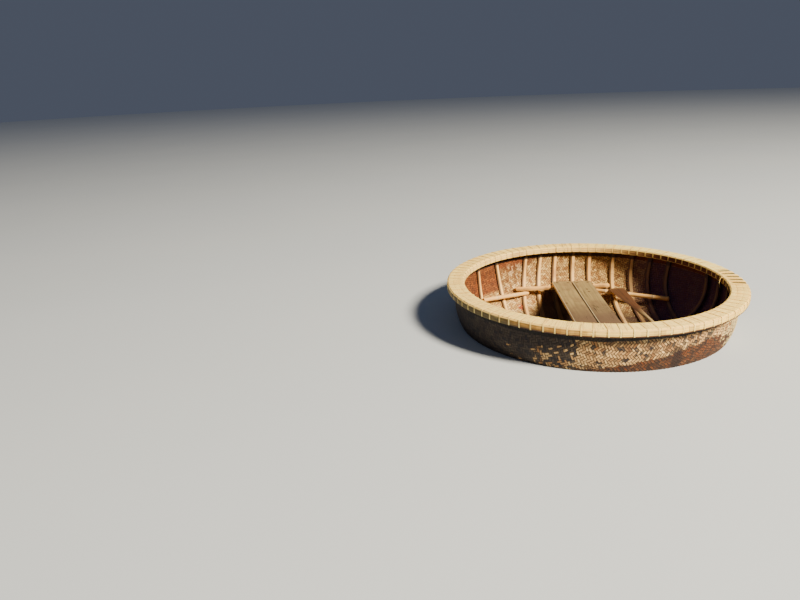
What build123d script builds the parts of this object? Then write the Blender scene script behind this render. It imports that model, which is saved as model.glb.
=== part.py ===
"""Round basket boat (coracle) of split bamboo, in millimetres.

+Z is up, +Y runs along the thwart, and the origin is the centre of the water plane.
"""
import os
from math import asin, cos, degrees, hypot, radians, sin, sqrt

from build123d import *

# Overall sizes
rim_radius = 1000.0
freeboard = 300.0
hull_depth = 600.0
seat_clearance = 0.3

# Basket hull
hull_thickness = 14.0
wall_height = 140.0
bilge_radius = 360.0
hull_edge_drop = 7.0

# Rim: an outer and an inner hoop of stacked splits, capped with flat strips and lashed
outer_hoop_width = 54.5
inner_hoop_width = 51.0
hoop_height = 41.0
hoop_chamfer = 7.0
hoop_split_count = 3
hoop_seam_depth = 3.0
hoop_seam_width = 3.0
cap_strip_edge = 3.4
cap_strip_crown = 5.6
cap_strip_flat_share = 0.45
cap_strip_count = 3
cap_strip_gap = 3.0
cap_edge_inset = 8.0
lashing_count = 86
lashing_width = 13.0
lashing_thickness = 3.2

# Ribs: flat splits bent over the floor in two crossing layers, each placed by its share of the
# bowl's inner radius and leaning from its upright plane
rib_width = 35.0
rib_thickness = 12.0
lengthwise_ribs = (
    dict(place_share=-0.770, lean_degrees=-5.3),
    dict(place_share=-0.594, lean_degrees=-9.5),
    dict(place_share=-0.305, lean_degrees=5.0),
    dict(place_share=-0.1665, lean_degrees=5.0),
    dict(place_share=-0.032, lean_degrees=3.0),
    dict(place_share=0.1256, lean_degrees=1.7),
    dict(place_share=0.263, lean_degrees=1.0),
    dict(place_share=0.451, lean_degrees=2.0),
    dict(place_share=0.591, lean_degrees=3.0),
    dict(place_share=0.711, lean_degrees=5.0),
    dict(place_share=0.818, lean_degrees=5.0),
)
crosswise_ribs = (
    dict(place_share=-0.311, lean_degrees=-2.0),
    dict(place_share=-0.145, lean_degrees=1.5),
    dict(place_share=0.0215, lean_degrees=1.0),
    dict(place_share=0.1826, lean_degrees=2.0),
)

# Thwart: two boards on a beam at each end
board_width = 150.0
board_gap = 10.0
board_thickness = 25.0
board_end_gap = 42.0
thwart_offset = 34.0
thwart_turn = -3.3
board_top_drop = 273.0
beam_setback = 40.0
beam_width = 40.0
beam_thickness = 26.0

# Ledge poles wedged between two ribs, from the side wall to the boards' beam
pole_radius = 16.0
pole_bore_radius = 9.0
pole_bore_depth = 60.0
pole_joint_pitch = 190.0
pole_joint_rise = 2.2
pole_joint_half_width = 7.0
ledge_left_drop = 308.0
ledge_right_drop = 325.0
ledge_beam_drop = 350.0
ledge_poles = {
    "far_left": dict(wall_degrees=143.0, wall_drop=ledge_left_drop, beam_degrees=110.0),
    "far_right": dict(wall_degrees=29.0, wall_drop=ledge_right_drop, beam_degrees=73.0),
    "near_left": dict(wall_degrees=-143.0, wall_drop=ledge_left_drop, beam_degrees=-110.0),
    "near_right": dict(wall_degrees=-29.0, wall_drop=ledge_right_drop, beam_degrees=-73.0),
}

# Paddle, laid across the two right-hand ledge poles
paddle_place = 420.0
paddle_end_gap = 12.0
shaft_radius = 14.0
spine_length = 420.0
spine_end_radius = 5.0
blade_length = 700.0
blade_width = 126.0
blade_neck_thickness = 16.0
blade_tip_thickness = 9.0
blade_tip_round = 28.0
grip_radius = 17.0
grip_length = 60.0

# Levels and radii that follow
rim_top = freeboard
hull_radius = rim_radius - outer_hoop_width - seat_clearance
hull_floor = rim_top - hull_depth
bilge_centre_r = hull_radius - bilge_radius
bilge_centre_z = rim_top - wall_height
floor_rise = bilge_centre_z - hull_floor
floor_radius = (bilge_centre_r**2 + floor_rise**2 - bilge_radius**2) / (2 * (floor_rise - bilge_radius))
floor_centre_z = hull_floor + floor_radius
hoop_top = rim_top - cap_strip_crown
hoop_bottom = hoop_top - hoop_height
hull_inner_radius = hull_radius - hull_thickness
rim_inner_radius = hull_inner_radius - seat_clearance - inner_hoop_width
rim_width = rim_radius - rim_inner_radius
rib_inset = hull_thickness + rib_thickness
rib_top = hoop_bottom - lashing_thickness - 2 * seat_clearance
board_underside = rim_top - board_top_drop - board_thickness


def bowl_radius_at(z, inset):
    """Radius of the bowl's surface, set in by inset, at a level on its wall or bilge."""
    if z >= bilge_centre_z:
        return hull_radius - inset
    reach = bilge_radius - inset
    return bilge_centre_r + sqrt(reach**2 - (bilge_centre_z - z) ** 2)


def chord_half(z, inset, offset):
    """Half length of the chord that a line at an offset from the axis has inside the bowl."""
    return sqrt(bowl_radius_at(z, inset) ** 2 - offset**2)


def bowl_edges(inset, top_z):
    """Floor arc, bilge arc and wall line of the bowl's half section, set in by inset."""
    lean = hypot(bilge_centre_r, floor_centre_z - bilge_centre_z)
    out, down = bilge_centre_r / lean, (floor_centre_z - bilge_centre_z) / lean
    floor_reach = floor_radius - inset
    bilge_reach = bilge_radius - inset
    half_turn = asin(out) / 2
    middle_turn = (asin(out) + radians(90)) / 2
    bottom = (0, 0, floor_centre_z - floor_reach)
    floor_middle = (floor_reach * sin(half_turn), 0, floor_centre_z - floor_reach * cos(half_turn))
    turn = (floor_reach * out, 0, floor_centre_z - floor_reach * down)
    bilge_middle = (
        bilge_centre_r + bilge_reach * sin(middle_turn),
        0,
        bilge_centre_z - bilge_reach * cos(middle_turn),
    )
    wall_foot = (hull_radius - inset, 0, bilge_centre_z)
    wall_top = (hull_radius - inset, 0, top_z)
    edges = [
        ThreePointArc(bottom, floor_middle, turn),
        ThreePointArc(turn, bilge_middle, wall_foot),
        Line(wall_foot, wall_top),
    ]
    return edges, bottom, wall_top


def bowl_layer(outer_inset, inner_inset, top_z):
    """Solid of revolution between two parallel bowl surfaces."""
    outer, outer_bottom, outer_top = bowl_edges(outer_inset, top_z)
    inner, inner_bottom, inner_top = bowl_edges(inner_inset, top_z)
    ends = [Line(outer_top, inner_top), Line(inner_bottom, outer_bottom)]
    return revolve(make_face(outer + inner + ends), Axis.Z, 360)


def hoop(covered_radius, free_radius):
    """Rim hoop with cut corners, and a seam on its free side between each two of its stacked splits."""
    outward = 1 if free_radius > covered_radius else -1
    cut = hoop_chamfer * outward
    ring = [
        (covered_radius + cut, hoop_bottom),
        (covered_radius, hoop_bottom + hoop_chamfer),
        (covered_radius, hoop_top - hoop_chamfer),
        (covered_radius + cut, hoop_top),
        (free_radius - cut, hoop_top),
        (free_radius, hoop_top - hoop_chamfer),
    ]
    split = hoop_height / hoop_split_count
    for number in range(1, hoop_split_count):
        seam = hoop_top - number * split
        ring.append((free_radius, seam + hoop_seam_width / 2))
        ring.append((free_radius - hoop_seam_depth * outward, seam))
        ring.append((free_radius, seam - hoop_seam_width / 2))
    ring += [(free_radius, hoop_bottom + hoop_chamfer), (free_radius - cut, hoop_bottom)]
    return revolve(make_face(Polyline([(r, 0, z) for r, z in ring], close=True)), Axis.Z, 360)


def cap_strips():
    """Flat splits with a crowned top, laid side by side round the rim."""
    pitch = (rim_width - 2 * cap_edge_inset + cap_strip_gap) / cap_strip_count
    half = (pitch - cap_strip_gap) / 2
    strips = []
    for number in range(cap_strip_count):
        middle = rim_inner_radius + cap_edge_inset + half + number * pitch
        flat = half * cap_strip_flat_share
        ring = [
            (middle - half, hoop_top),
            (middle - half, hoop_top + cap_strip_edge),
            (middle - flat, hoop_top + cap_strip_crown),
            (middle + flat, hoop_top + cap_strip_crown),
            (middle + half, hoop_top + cap_strip_edge),
            (middle + half, hoop_top),
        ]
        section = make_face(Polyline([(r, 0, z) for r, z in ring], close=True))
        strips.append(revolve(section, Axis.Z, 360))
    return strips


def chamfered_corners(inner, outer, low, high, cut):
    """Corner points of a box section with cut corners, from the low inner one round by the top."""
    return [
        (inner + cut, low),
        (inner, low + cut),
        (inner, high - cut),
        (inner + cut, high),
        (outer - cut, high),
        (outer, high - cut),
        (outer, low + cut),
        (outer - cut, low),
    ]


def lashings():
    """Cord bands round both hoops, which end where they enter the basket's weave."""
    lift = seat_clearance
    cut = hoop_chamfer
    inside = chamfered_corners(
        rim_inner_radius - lift, rim_radius + lift, hoop_bottom - lift, rim_top + lift, cut
    )
    thick = lashing_thickness + lift
    outside = chamfered_corners(
        rim_inner_radius - thick,
        rim_radius + thick,
        hoop_bottom - thick,
        rim_top + thick,
        cut + lashing_thickness * (2 - sqrt(2)),
    )
    inner_face = hull_inner_radius - seat_clearance
    outer_face = hull_radius + seat_clearance
    ring = [(inner_face, hoop_bottom - lift)] + inside + [(outer_face, hoop_bottom - lift)]
    ring += [(outer_face, hoop_bottom - thick)] + outside[::-1] + [(inner_face, hoop_bottom - thick)]
    section = make_face(Polyline([(r, 0, z) for r, z in ring], close=True))
    band = extrude(section, lashing_width / 2, dir=(0, 1, 0), both=True)
    step = 360 / lashing_count
    return [Rot(0, 0, number * step) * band for number in range(lashing_count)]


def ribs(layer, table):
    """Splits that run along Y in leaning planes, narrowed so that they keep their width up the wall."""
    reach = hull_radius
    half = rib_width / 2
    strips = []
    for row in table:
        place = row["place_share"] * hull_inner_radius
        wall = sqrt(hull_inner_radius**2 - place**2)
        end_half = half * wall / hull_inner_radius
        outline = Polyline(
            [
                (-half, 0),
                (-end_half, wall),
                (-end_half, reach),
                (end_half, reach),
                (end_half, wall),
                (half, 0),
                (end_half, -wall),
                (end_half, -reach),
                (-end_half, -reach),
                (-end_half, -wall),
            ],
            close=True,
        )
        slab = Pos(0, 0, -2 * hull_depth) * extrude(make_face(outline), 3 * hull_depth)
        strips.append(layer & (Pos(place, 0, rib_top) * Rot(0, row["lean_degrees"], 0) * slab))
    return strips


def board_half_length():
    """Half length of the boards, whose corners stop short of the ribs by the end gap."""
    corner = board_width + board_gap / 2 + thwart_offset
    return chord_half(board_underside, rib_inset + board_end_gap, corner)


def board(side):
    """Thwart board on the left (-1) or right (+1) of the thwart's centre line."""
    middle = side * (board_width + board_gap) / 2
    length = 2 * board_half_length()
    plank = Box(board_width, length, board_thickness, align=(Align.CENTER, Align.CENTER, Align.MIN))
    return Pos(thwart_offset, 0, board_underside) * Rot(0, 0, thwart_turn) * Pos(middle, 0, 0) * plank


def beam(side):
    """Batten under the boards' far (+1) or near (-1) ends, from wall to wall."""
    low = board_underside - seat_clearance - beam_thickness
    beam_place = board_half_length() - beam_setback
    half = chord_half(low, hull_thickness + seat_clearance, beam_place + beam_width / 2)
    bar = Box(2 * half, beam_width, beam_thickness, align=(Align.CENTER, Align.CENTER, Align.MIN))
    return Pos(0, side * beam_place, low) * bar


def ledge_pole_ends(wall_degrees, wall_drop, beam_degrees):
    """Centres of a pole's two ends, where its skin lies on the ribs."""
    ends = []
    for azimuth, drop in ((wall_degrees, wall_drop), (beam_degrees, ledge_beam_drop)):
        z = rim_top - drop
        r = bowl_radius_at(z, rib_inset + pole_radius)
        ends.append(Vector(r * cos(radians(azimuth)), r * sin(radians(azimuth)), z))
    return ends


def bamboo_pole(start, end):
    """Culm with raised joints and hollow ends."""
    length = (end - start).length
    joint_count = int(length / pole_joint_pitch)
    first_joint = (length - (joint_count - 1) * pole_joint_pitch) / 2
    skin = [(0, 0, 0), (pole_radius, 0, 0)]
    for number in range(joint_count):
        joint = first_joint + number * pole_joint_pitch
        skin.append((pole_radius, 0, joint - pole_joint_half_width))
        skin.append((pole_radius + pole_joint_rise, 0, joint))
        skin.append((pole_radius, 0, joint + pole_joint_half_width))
    skin += [(pole_radius, 0, length), (0, 0, length)]
    culm = revolve(make_face(Polyline(skin, close=True)), Axis.Z, 360)
    bore = Cylinder(pole_bore_radius, pole_bore_depth)
    culm -= Pos(0, 0, pole_bore_depth / 2) * bore
    culm -= Pos(0, 0, length - pole_bore_depth / 2) * bore
    return Plane(origin=start, z_dir=end - start) * culm


def ledge_top_at(pole, x):
    """Point on top of a ledge pole where it passes a given x."""
    start, end = ledge_pole_ends(**ledge_poles[pole])
    share = (x - start.X) / (end.X - start.X)
    point = start + (end - start) * share
    return Vector(point.X, point.Y, point.Z + pole_radius + seat_clearance)


def blade(neck):
    """Flat blade that widens from the shaft to a tip with rounded corners, and thins as it widens."""
    tip = neck + blade_length
    half = blade_width / 2
    outline = Polyline(
        [(-shaft_radius, neck), (-half, tip), (half, tip), (shaft_radius, neck)],
        close=True,
    )
    side_view = Polyline(
        [
            (-blade_neck_thickness / 2, neck),
            (-blade_tip_thickness / 2, tip),
            (blade_tip_thickness / 2, tip),
            (blade_neck_thickness / 2, neck),
        ],
        close=True,
    )
    plan = make_face(outline)
    tip_corners = plan.vertices().filter_by(lambda corner: corner.Y > (neck + tip) / 2)
    plan = fillet(tip_corners, blade_tip_round)
    wide = extrude(Plane.XZ * plan, shaft_radius, both=True)
    thin = extrude(Plane.YZ * make_face(side_view), half, both=True)
    return wide & thin


def paddle():
    """One-piece paddle: a round shaft whose spine runs out over a long tapered blade."""
    rise = Vector(0, 0, 1)
    far_top = ledge_top_at("far_right", paddle_place)
    near_top = ledge_top_at("near_right", paddle_place)
    far_reach = chord_half(far_top.Z, rib_inset, paddle_place + blade_width / 2) - paddle_end_gap
    near_reach = chord_half(near_top.Z, rib_inset, paddle_place + grip_radius) - paddle_end_gap
    thinning = (blade_neck_thickness - blade_tip_thickness) / blade_length
    far_half = (blade_tip_thickness + thinning * (far_reach - far_top.Y)) / 2
    far_rest = far_top + rise * (far_half + seat_clearance)
    near_rest = near_top + rise * (grip_radius + seat_clearance)
    along = (far_rest - near_rest).normalized()
    start, end = ledge_pole_ends(**ledge_poles["far_right"])
    pole = end - start
    roll = (pole.Z - pole.Y * along.Z / along.Y) / pole.X
    tip = far_rest + along * ((far_reach - far_rest.Y) / along.Y)
    length = (far_reach + near_reach) / along.Y
    neck = length - blade_length
    up = (Align.CENTER, Align.CENTER, Align.MIN)
    shaft = Cylinder(shaft_radius, neck, align=up)
    spine = Pos(0, 0, neck) * Cone(shaft_radius, spine_end_radius, spine_length, align=up)
    grip = Cylinder(grip_radius, grip_length, align=up)
    whole = shaft + grip + (blade(neck) + spine)
    return Plane(origin=tip - along * length, x_dir=(1, 0, roll), z_dir=along) * whole


def write(name, solids):
    """Write one node as one STEP file."""
    shapes = solids if isinstance(solids, list) else [solids]
    export_step(shapes[0] if len(shapes) == 1 else Compound(children=shapes), f"parts/{name}.step")


def main():
    os.makedirs("parts", exist_ok=True)
    write("hull_basket", bowl_layer(0, hull_thickness, hoop_top - hull_edge_drop))
    write("outer_hoop", hoop(hull_radius + seat_clearance, rim_radius))
    write("inner_hoop", hoop(hull_inner_radius - seat_clearance, rim_inner_radius))
    write("rim_cap_strips", cap_strips())
    write("rim_lashings", lashings())
    lower_layer = bowl_layer(hull_thickness, rib_inset, rib_top)
    upper_layer = bowl_layer(rib_inset, rib_inset + rib_thickness, rib_top)
    write("ribs_lengthwise", ribs(lower_layer, lengthwise_ribs))
    quarter_turn = Rot(0, 0, 90)
    write("ribs_crosswise", [quarter_turn * strip for strip in ribs(upper_layer, crosswise_ribs)])
    write("thwart_board_left", board(-1))
    write("thwart_board_right", board(1))
    write("thwart_beam_far", beam(1))
    write("thwart_beam_near", beam(-1))
    for name, row in ledge_poles.items():
        write(f"ledge_pole_{name}", bamboo_pole(*ledge_pole_ends(**row)))
    write("paddle", paddle())


main()
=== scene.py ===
# %% [markdown]
# # A round basket boat
# The boat is a bowl of woven split bamboo, about two metres across, with two bent hoops lashed round
# its edge, flat ribs bent over its floor, a thwart of two old boards, four bamboo ledge poles and a paddle.
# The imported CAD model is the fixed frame: it gives every place and size in metres, with the origin in the
# middle of the waterline's plane. Each step below takes one kind of piece from that frame and dresses it.

# %% Load the frame
import math
import random

import bmesh
import bpy
from mathutils import Matrix, Vector, noise


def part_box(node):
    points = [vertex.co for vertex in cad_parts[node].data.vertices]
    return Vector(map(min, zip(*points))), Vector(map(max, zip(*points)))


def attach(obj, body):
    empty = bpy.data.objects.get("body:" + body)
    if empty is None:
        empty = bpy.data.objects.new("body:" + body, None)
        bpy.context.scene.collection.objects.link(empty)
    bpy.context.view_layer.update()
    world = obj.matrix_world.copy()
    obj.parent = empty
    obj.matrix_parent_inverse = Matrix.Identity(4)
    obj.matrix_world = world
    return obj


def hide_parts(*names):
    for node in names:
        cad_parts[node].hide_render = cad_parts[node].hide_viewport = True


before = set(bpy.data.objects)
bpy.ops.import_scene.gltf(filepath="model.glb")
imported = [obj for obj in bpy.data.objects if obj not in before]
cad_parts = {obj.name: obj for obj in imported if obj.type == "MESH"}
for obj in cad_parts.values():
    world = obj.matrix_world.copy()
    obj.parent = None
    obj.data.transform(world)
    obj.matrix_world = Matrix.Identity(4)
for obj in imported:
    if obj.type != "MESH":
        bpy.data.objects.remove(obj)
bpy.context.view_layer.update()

random.seed(7)
noise.seed_set(7)
print("nodes", sorted(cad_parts))

# %% [markdown]
# ## Camera
# The view is the photograph's: a little above the rim, looking slightly down, with the boat right of the
# middle. The three axes of the camera come from its pitch and roll, and its lens from the 800 pixel width.

# %% Camera
def shown(name, data):
    """A new object in the scene, for a camera, a mesh or a lamp."""
    made = bpy.data.objects.new(name, data)
    bpy.context.scene.collection.objects.link(made)
    return made


frame_width, focal_pixels = 800, 670
pitch, roll = math.radians(18.76), math.radians(-2.45)
camera_place = Vector((-1.337, -4.462, 1.714))

level = Matrix(((1, 0, 0), (0, 0, -1), (0, 1, 0)))
looking = Matrix.Rotation(roll, 3, "Z") @ Matrix.Rotation(pitch, 3, "X") @ level
camera_data = bpy.data.cameras.new("photo_view")
camera_data.sensor_width = 36
camera_data.lens = focal_pixels * 36 / frame_width
camera = shown("photo_view", camera_data)
turned = Matrix((looking[0], -looking[1], -looking[2])).transposed().to_4x4()
camera.matrix_world = Matrix.Translation(camera_place) @ turned
bpy.context.scene.camera = camera
print("lens", round(camera_data.lens, 2), "mm")

# %% [markdown]
# ## The bowl's curve
# Everything in this boat follows one curve: half of the bowl's section, a shallow floor arc, a rounder
# bilge arc and an upright wall. A distance along that curve gives a point and a direction into the boat,
# so the weave, the ribs and the hoops can all be bent with one helper.

# %% Measures from the frame
hull_low, hull_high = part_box("hull_basket")
rim_low, rim_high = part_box("outer_hoop")
hull_radius, hull_edge, hull_floor = hull_high[0], hull_high[2], hull_low[2]
rim_radius, hoop_low_z, hoop_top_z = rim_high[0], rim_low[2], rim_high[2]
rim_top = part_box("rim_cap_strips")[1][2]
hull_thickness = 0.014
wall_height, bilge_radius = 0.140, 0.360
hoop_gap, inner_hoop_width = 0.0003, 0.051

bilge_r, bilge_z = hull_radius - bilge_radius, rim_top - wall_height
floor_rise = bilge_z - hull_floor
floor_radius = (bilge_r**2 + floor_rise**2 - bilge_radius**2) / (2 * (floor_rise - bilge_radius))
floor_z = hull_floor + floor_radius
floor_turn = math.atan2(bilge_r, floor_z - bilge_z)
floor_run = floor_radius * floor_turn
bilge_run = floor_run + bilge_radius * (math.pi / 2 - floor_turn)
edge_run = bilge_run + hull_edge - bilge_z
rim_inner_radius = hull_radius - hull_thickness - hoop_gap - inner_hoop_width
print("rim", rim_radius, rim_top, "run to the edge", round(edge_run, 4))


# %% A point on the bowl
def bowl_section(run, inset):
    """Radius and height at a distance along the bowl's section, set into the boat by inset."""
    if run < floor_run:
        turn = run / floor_radius
        reach = floor_radius - inset
        return reach * math.sin(turn), floor_z - reach * math.cos(turn)
    if run < bilge_run:
        turn = floor_turn + (run - floor_run) / bilge_radius
        reach = bilge_radius - inset
        return bilge_r + reach * math.sin(turn), bilge_z - reach * math.cos(turn)
    return hull_radius - inset, bilge_z + run - bilge_run


print("bilge near the waterline", [round(v, 4) for v in bowl_section(1.0, 0)])

# %% [markdown]
# ## Writing finishes as sums
# A bamboo finish is a long sum of small things: grain, joints, stains, worn edges. One small class wraps a
# socket so that the sum can be written in Python, and one method adds any other node.


# %% Shader helper
def maths(operation, swapped=False):
    """A method that puts its values through one Math node, in the other order if swapped."""
    def method(*parts):
        return parts[0].finish.node("ShaderNodeMath", {"operation": operation}, parts[::-1] if swapped else parts)
    return method


class Signal:
    """One value or colour on its way through a finish."""

    def __init__(self, finish, socket):
        self.finish, self.socket = finish, socket

    __add__ = __radd__ = maths("ADD")
    __mul__ = __rmul__ = maths("MULTIPLY")
    __sub__, __rsub__ = maths("SUBTRACT"), maths("SUBTRACT", swapped=True)
    __truediv__, __mod__, __lt__ = maths("DIVIDE"), maths("FLOORED_MODULO"), maths("LESS_THAN")
    floor, fraction, size = maths("FLOOR"), maths("FRACT"), maths("ABSOLUTE")
    most, least = maths("MAXIMUM"), maths("MINIMUM")

    def rise(self, low, high):
        """0 below low and 1 above high, with a smooth step between them."""
        settings = {"interpolation_type": "SMOOTHSTEP"}
        return self.finish.node("ShaderNodeMapRange", settings, {0: self, 1: low, 2: high, 3: 0.0, 4: 1.0})


class Finish:
    """A material in the making, with the colour that it has so far."""

    def __init__(self, name):
        self.material = bpy.data.materials.new(name)
        self.material.use_nodes = True
        self.tree = self.material.node_tree
        self.shader = self.tree.nodes["Principled BSDF"]
        self.place = self.node("ShaderNodeTexCoord", out="Object")
        self.x, self.y, self.z = self.parts(self.place)
        self.colour = None

    def node(self, kind, settings=(), inputs=(), out=0):
        made = self.tree.nodes.new(kind)
        for name, value in dict(settings).items():
            setattr(made, name, value)
        for key, value in inputs.items() if isinstance(inputs, dict) else enumerate(inputs):
            if isinstance(value, Signal):
                self.tree.links.new(value.socket, made.inputs[key])
            else:
                made.inputs[key].default_value = value
        return Signal(self, made.outputs[out])

    def parts(self, vector):
        return [self.node("ShaderNodeSeparateXYZ", inputs=[vector], out=number) for number in range(3)]

    def join(self, x, y, z):
        return self.node("ShaderNodeCombineXYZ", inputs=[x, y, z])

    def own(self, name):
        """The three numbers that a piece carries for its finish."""
        return self.parts(self.node("ShaderNodeAttribute", {"attribute_name": name}, out="Vector"))

    def reach(self):
        """Distance from the boat's upright axis."""
        flat = self.join(self.x, self.y, 0.0)
        return self.node("ShaderNodeVectorMath", {"operation": "LENGTH"}, [flat], out="Value")

    def cloud(self, where, scale, detail=3.0, rough=0.55):
        inputs = {"Vector": where, "Scale": scale, "Detail": detail, "Roughness": rough}
        return self.node("ShaderNodeTexNoise", {}, inputs)

    def streaks(self, x, y, z, scale=1.0, detail=3.0, rough=0.55):
        """A cloud that is stretched by counting each direction at its own rate."""
        return self.cloud(self.join(x, y, z), scale, detail, rough)

    def stain(self, scale, detail=3.0):
        """Blotches fixed to the boat, so that neighbouring pieces share them."""
        return self.cloud(self.place, scale, detail, 0.6)

    def dice(self, x, y=0.0):
        """A random number that stays the same for the same x and y."""
        return self.node("ShaderNodeTexWhiteNoise", {"noise_dimensions": "2D"}, {"Vector": self.join(x, y, 0.0)})

    def blend(self, share, first, second):
        settings = {"data_type": "RGBA", "clamp_factor": True}
        return self.node("ShaderNodeMix", settings, {0: share, 6: first, 7: second}, out=2)

    def coat(self, share, *colour):
        """Lay a colour over what is there, given as red, green and blue or ready made."""
        self.colour = self.blend(share, self.colour, paint(*colour) if len(colour) == 3 else colour[0])

    def near(self, spots, reach, ragged):
        """1 within reach of any of the spots, seen from above, with a ragged edge."""
        here, nearest = self.join(self.x, self.y, 0.0), 9.0
        for x, y, z in spots:
            gap = self.node("ShaderNodeVectorMath", {"operation": "DISTANCE"}, [here, (x, y, 0)], out="Value")
            nearest = gap.least(nearest)
        return 1 - (nearest + (ragged - 0.5) * reach).rise(reach * 0.5, reach)

    def painted_board_shadow(self):
        """1 on the floor under the boards and to their left, where their shadow is painted."""
        from_left = (self.x - self.y.most(0.3) * 0.42 + 0.50).rise(0.0, 0.03)
        return from_left * (0.22 - self.x).rise(0.0, 0.08) * (-0.03 - self.z).rise(0.0, 0.03)

    def finished(self, roughness, height, depth, **shader):
        bump = self.node("ShaderNodeBump", {}, {"Height": height, "Distance": depth, "Strength": 1.0})
        self.tree.links.new(bump.socket, self.shader.inputs["Normal"])
        for key, value in {"Base Color": self.colour, "Roughness": roughness, **shader}.items():
            if isinstance(value, Signal):
                self.tree.links.new(value.socket, self.shader.inputs[key])
            else:
                self.shader.inputs[key].default_value = value
        print("finish", self.material.name, len(self.tree.nodes), "nodes")
        return self.material


def paint(red, green, blue):
    """A screen colour from 0 to 255 as the linear colour that a shader wants."""
    return tuple(((v / 255 + 0.055) / 1.055) ** 2.4 if v > 10 else v / 3295 for v in (red, green, blue)) + (1.0,)


# %% [markdown]
# ## Placing a piece
# A piece is shaped in a bmesh, gets its finish, rides on the boat's only body and stands for its CAD node.
# Long pieces are made straight first. Their straight coordinates are kept on the mesh under the name
# "grain", so that fibres, joints and end stains run along them after they are bent.


# %% Piece helpers
def grain_of(bm):
    """The layer that keeps where each point was in the straight piece."""
    layers = bm.verts.layers.float_vector
    return layers.get("grain") or layers.new("grain")


def keep_grain(bm, number=0):
    """Keep each point's place in the straight piece, shifted so that no two pieces look alike."""
    grain = grain_of(bm)
    for vert in bm.verts:
        vert[grain] = (vert.co.x + 3.7 * number, vert.co.y, vert.co.z)


def frozen(bm, name):
    """Turn a finished bmesh into a mesh."""
    mesh = bpy.data.meshes.new(name)
    bm.to_mesh(mesh)
    bm.free()
    return mesh


def piece(bm, name, material, slot, *nodes, sharp_over=35):
    """Turn a bmesh into a finished piece of the boat."""
    bmesh.ops.recalc_face_normals(bm, faces=bm.faces)
    mesh = frozen(bm, name)
    made = shown(name, mesh)
    mesh.materials.append(material)
    mesh.shade_smooth()
    mesh.set_sharp_from_angle(angle=math.radians(sharp_over))
    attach(made, "root")
    if nodes:
        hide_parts(*nodes)
    triangles = sum(len(face.vertices) - 2 for face in mesh.polygons)
    print("piece", name, triangles, "triangles")
    return made


def rough(place, amount):
    """A small hand-made unevenness at a place, the same on every run."""
    return noise.noise_vector(Vector(place)) * amount


# %% [markdown]
# ## The woven basket
# The hull is a flat mat of splints in a twill weave, each passing over two and under two, pressed into a
# round frame while green. So it is made the same way here: a flat mat first, then bent. The mat is laid
# at 45 degrees, which lets it take the bowl's shape. The coarse grid has one square for each crossing and
# only its visible side is divided again, which keeps a closed skin light. The outer and the inner face are
# two skins that meet inside the wall.

# %% Flat mat
splint_width = 0.017
mat_turn = math.radians(45)
weave_relief = 0.0036
mat_cells = 2 * math.ceil(edge_run / splint_width)


def twill_height(u, v):
    """Height of the weave from -1 to 1 at a place counted in splints."""
    def crown(across):
        return 1 - abs(2 * (across % 1) - 1) ** 2.2

    def lift(along):
        return max(-1, min(1, 2 * math.sin(math.pi * along / 2)))

    warp = -1 + crown(u) * (1 + lift(v + math.floor(u)))
    weft = -1 + crown(v) * (1 - lift(u + math.floor(v)))
    return max(warp, weft)


def flat_mat():
    """Closed flat mat, one square to a crossing below and four above, cut to the basket's size."""
    bm = bmesh.new()
    size = mat_cells * splint_width
    bmesh.ops.create_grid(bm, x_segments=mat_cells, y_segments=mat_cells, size=size / 2)
    far = [face for face in bm.faces if face.calc_center_median().length > edge_run - 0.003]
    bmesh.ops.delete(bm, geom=far, context="FACES")
    raised = bmesh.ops.extrude_face_region(bm, geom=bm.faces[:])["geom"]
    top = [part for part in raised if isinstance(part, bmesh.types.BMVert)]
    bmesh.ops.translate(bm, verts=top, vec=(0, 0, 0.001))
    top_faces = [face for face in bm.faces if face.calc_center_median().z > 0.0009]
    edges = list({edge for face in top_faces for edge in face.edges})
    bmesh.ops.subdivide_edges(bm, edges=edges, cuts=1, use_grid_fill=True)
    return bm


def bend_mat(bm, crown_inset, back_inset):
    """Keep each point's place in the weave, then press the mat into the bowl with its relief."""
    layer = bm.verts.layers.float_vector.new("weave")
    facing = 1 if back_inset > crown_inset else -1
    half = mat_cells / 2
    for vert in bm.verts:
        u, v, top = vert.co.x / splint_width + half, vert.co.y / splint_width + half, vert.co.z > 0.0009
        u, v = (round(2 * u) / 2, round(2 * v) / 2)
        vert[layer] = (u, v, 1.0 if top else 0.0)
        drift = rough((u * 0.45, v * 0.45, crown_inset * 90), 0.0042)
        run = min(vert.co.xy.length, edge_run)
        run = min(run + drift.x * min(1, (edge_run - run) / 0.05), edge_run)
        turn = math.atan2(vert.co.y, vert.co.x) + mat_turn + drift.y / max(run, 0.1)
        inset = back_inset
        if top:
            sway = noise.noise(Vector((u * 0.16, v * 0.16, crown_inset * 90))) * 0.5
            inset = crown_inset + facing * weave_relief * (0.5 - 0.5 * twill_height(u, v) + 0.12 * (sway + 0.5))
        radius, height = bowl_section(run, inset)
        vert.co = (radius * math.cos(turn), radius * math.sin(turn), height)


print("mat", mat_cells, "splints across")

# %% [markdown]
# ### Bamboo after years afloat
# Outside, the splints are cream and tan with a few tarred flakes. Painted shade darkens them to blue-black at
# the left, painted sunlight makes the right flank paler, a painted shadow lies under the hoop, and a wet reddish
# band lies just above the waterline. Inside they keep a rust-red stain high on the left wall and fade to a pinkish
# tan in the middle. Painted shade darkens them at the right, low on the floor and under the boards, and a painted
# shadow lies under the inner hoop. Dirt and painted shade fill the gaps between splints. The finish reads the
# weave's own coordinates, so each splint has its own colour.


# %% Weave finish
# Heights on the wall above which the painted shadows under the inner hoop and under the outer hoop lie.
hoop_shadow_height, shade_height = 0.208, 0.2105


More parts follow.
